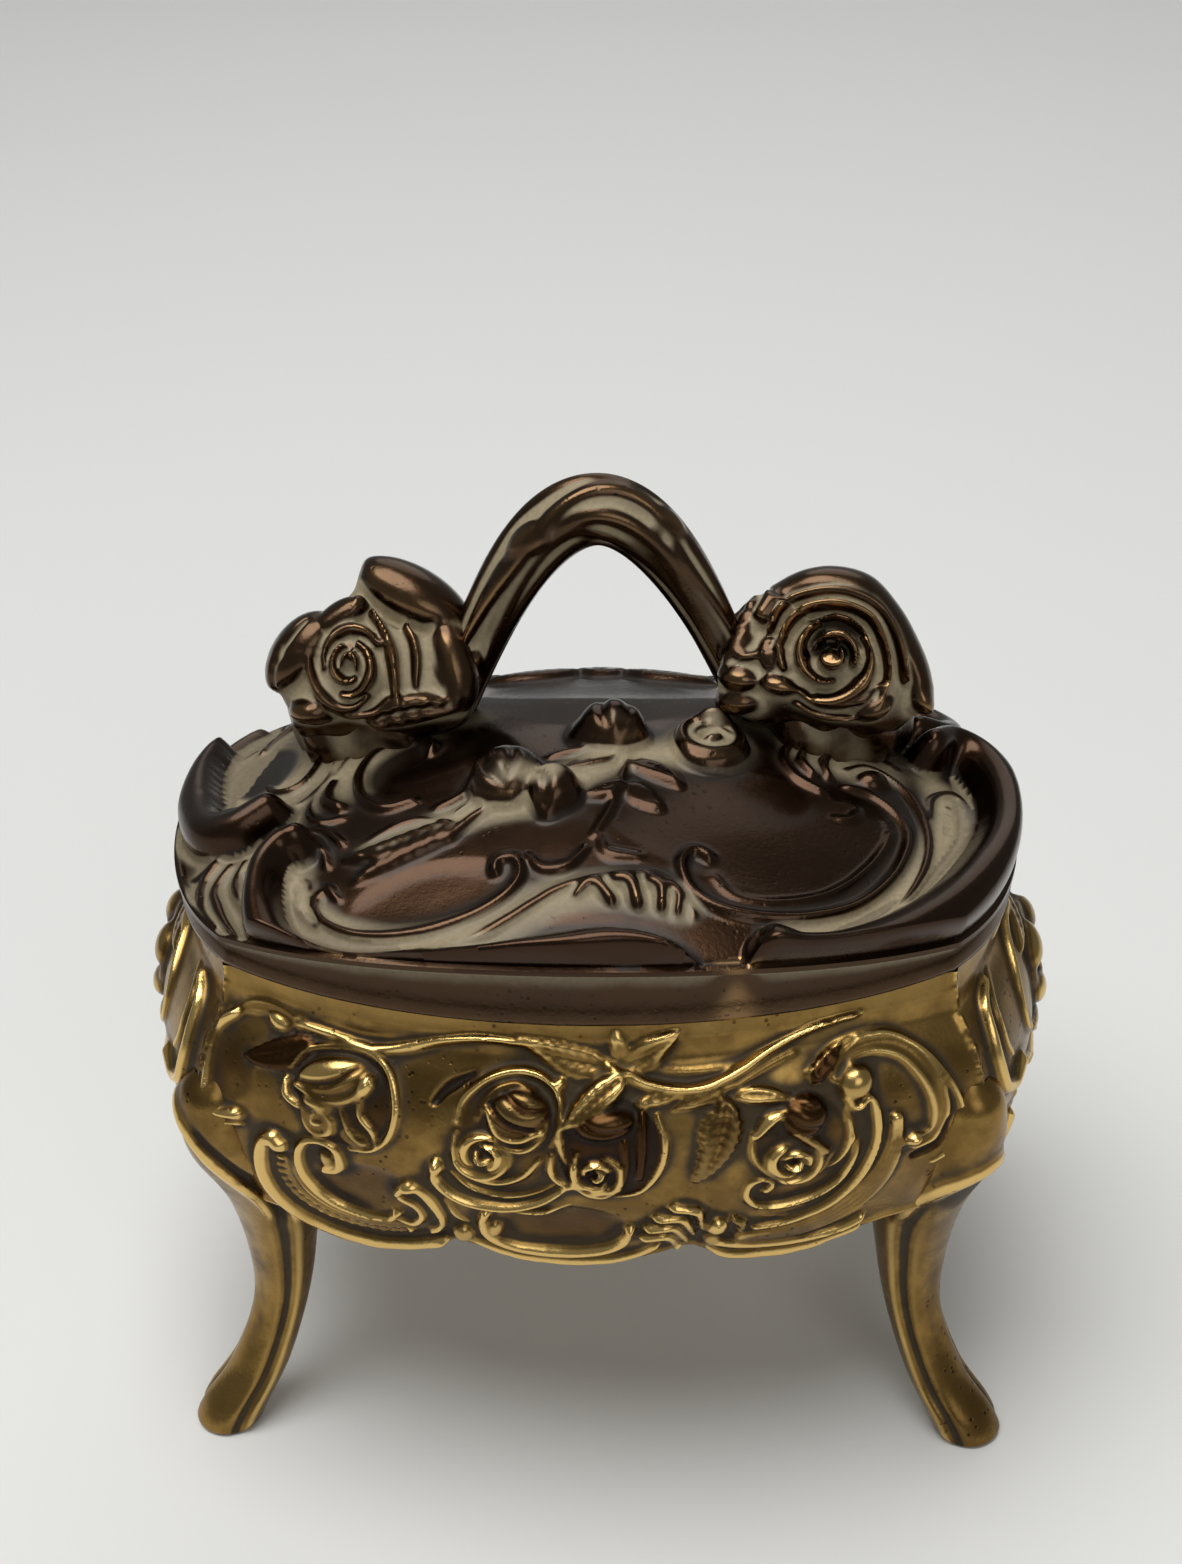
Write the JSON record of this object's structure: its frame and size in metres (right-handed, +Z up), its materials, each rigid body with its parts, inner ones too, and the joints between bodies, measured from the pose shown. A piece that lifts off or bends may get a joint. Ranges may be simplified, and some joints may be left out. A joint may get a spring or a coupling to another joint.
{
  "type": "trinket box",
  "caption": "Footed cast-metal trinket casket with bowed and bellied sides in scroll and rose relief, a hinged domed lid with rolled rim, branch handle between roses, and a padded lining.",
  "frame": {"origin": "on the table under the centre of the box", "axes": "+X to the right, +Y to the back where the hinge is, +Z up"},
  "size_m": [0.122, 0.0928, 0.1268],
  "materials": {
    "gilt_casting": "worn gilding with dark patina in the recesses",
    "bronzed_casting": "dark bronzed lacquer, glossy on the high parts, dusty in the recesses",
    "bottom_sheet": "plain rolled sheet, dull",
    "hinge_brass": "plain satin brass",
    "satin": "padded satin"
  },
  "bodies": {
    "body": {"front_panel": "gilt_casting", "back_panel": "gilt_casting", "left_end_panel": "gilt_casting", "right_end_panel": "gilt_casting", "front_left_leg": "gilt_casting", "front_right_leg": "gilt_casting", "back_left_leg": "gilt_casting", "back_right_leg": "gilt_casting", "bottom_plate": "bottom_sheet", "body_hinge_leaf": "hinge_brass", "hinge_pin": "hinge_brass", "floor_pad": "satin", "front_lining": "satin", "back_lining": "satin", "left_lining": "satin", "right_lining": "satin"},
    "lid": {"lid_shell": "bronzed_casting", "handle_branch": "bronzed_casting", "left_rose": "bronzed_casting", "right_rose": "bronzed_casting", "lid_hinge_leaf": "hinge_brass", "lid_lining": "satin"}
  },
  "joints": [
    {"name": "lid_hinge", "type": "hinge", "parent": "body", "child": "lid", "pos_m": [0, 0.0416, 0.076], "axis": [-1, 0, 0], "range_deg": [0, 100]}
  ]
}
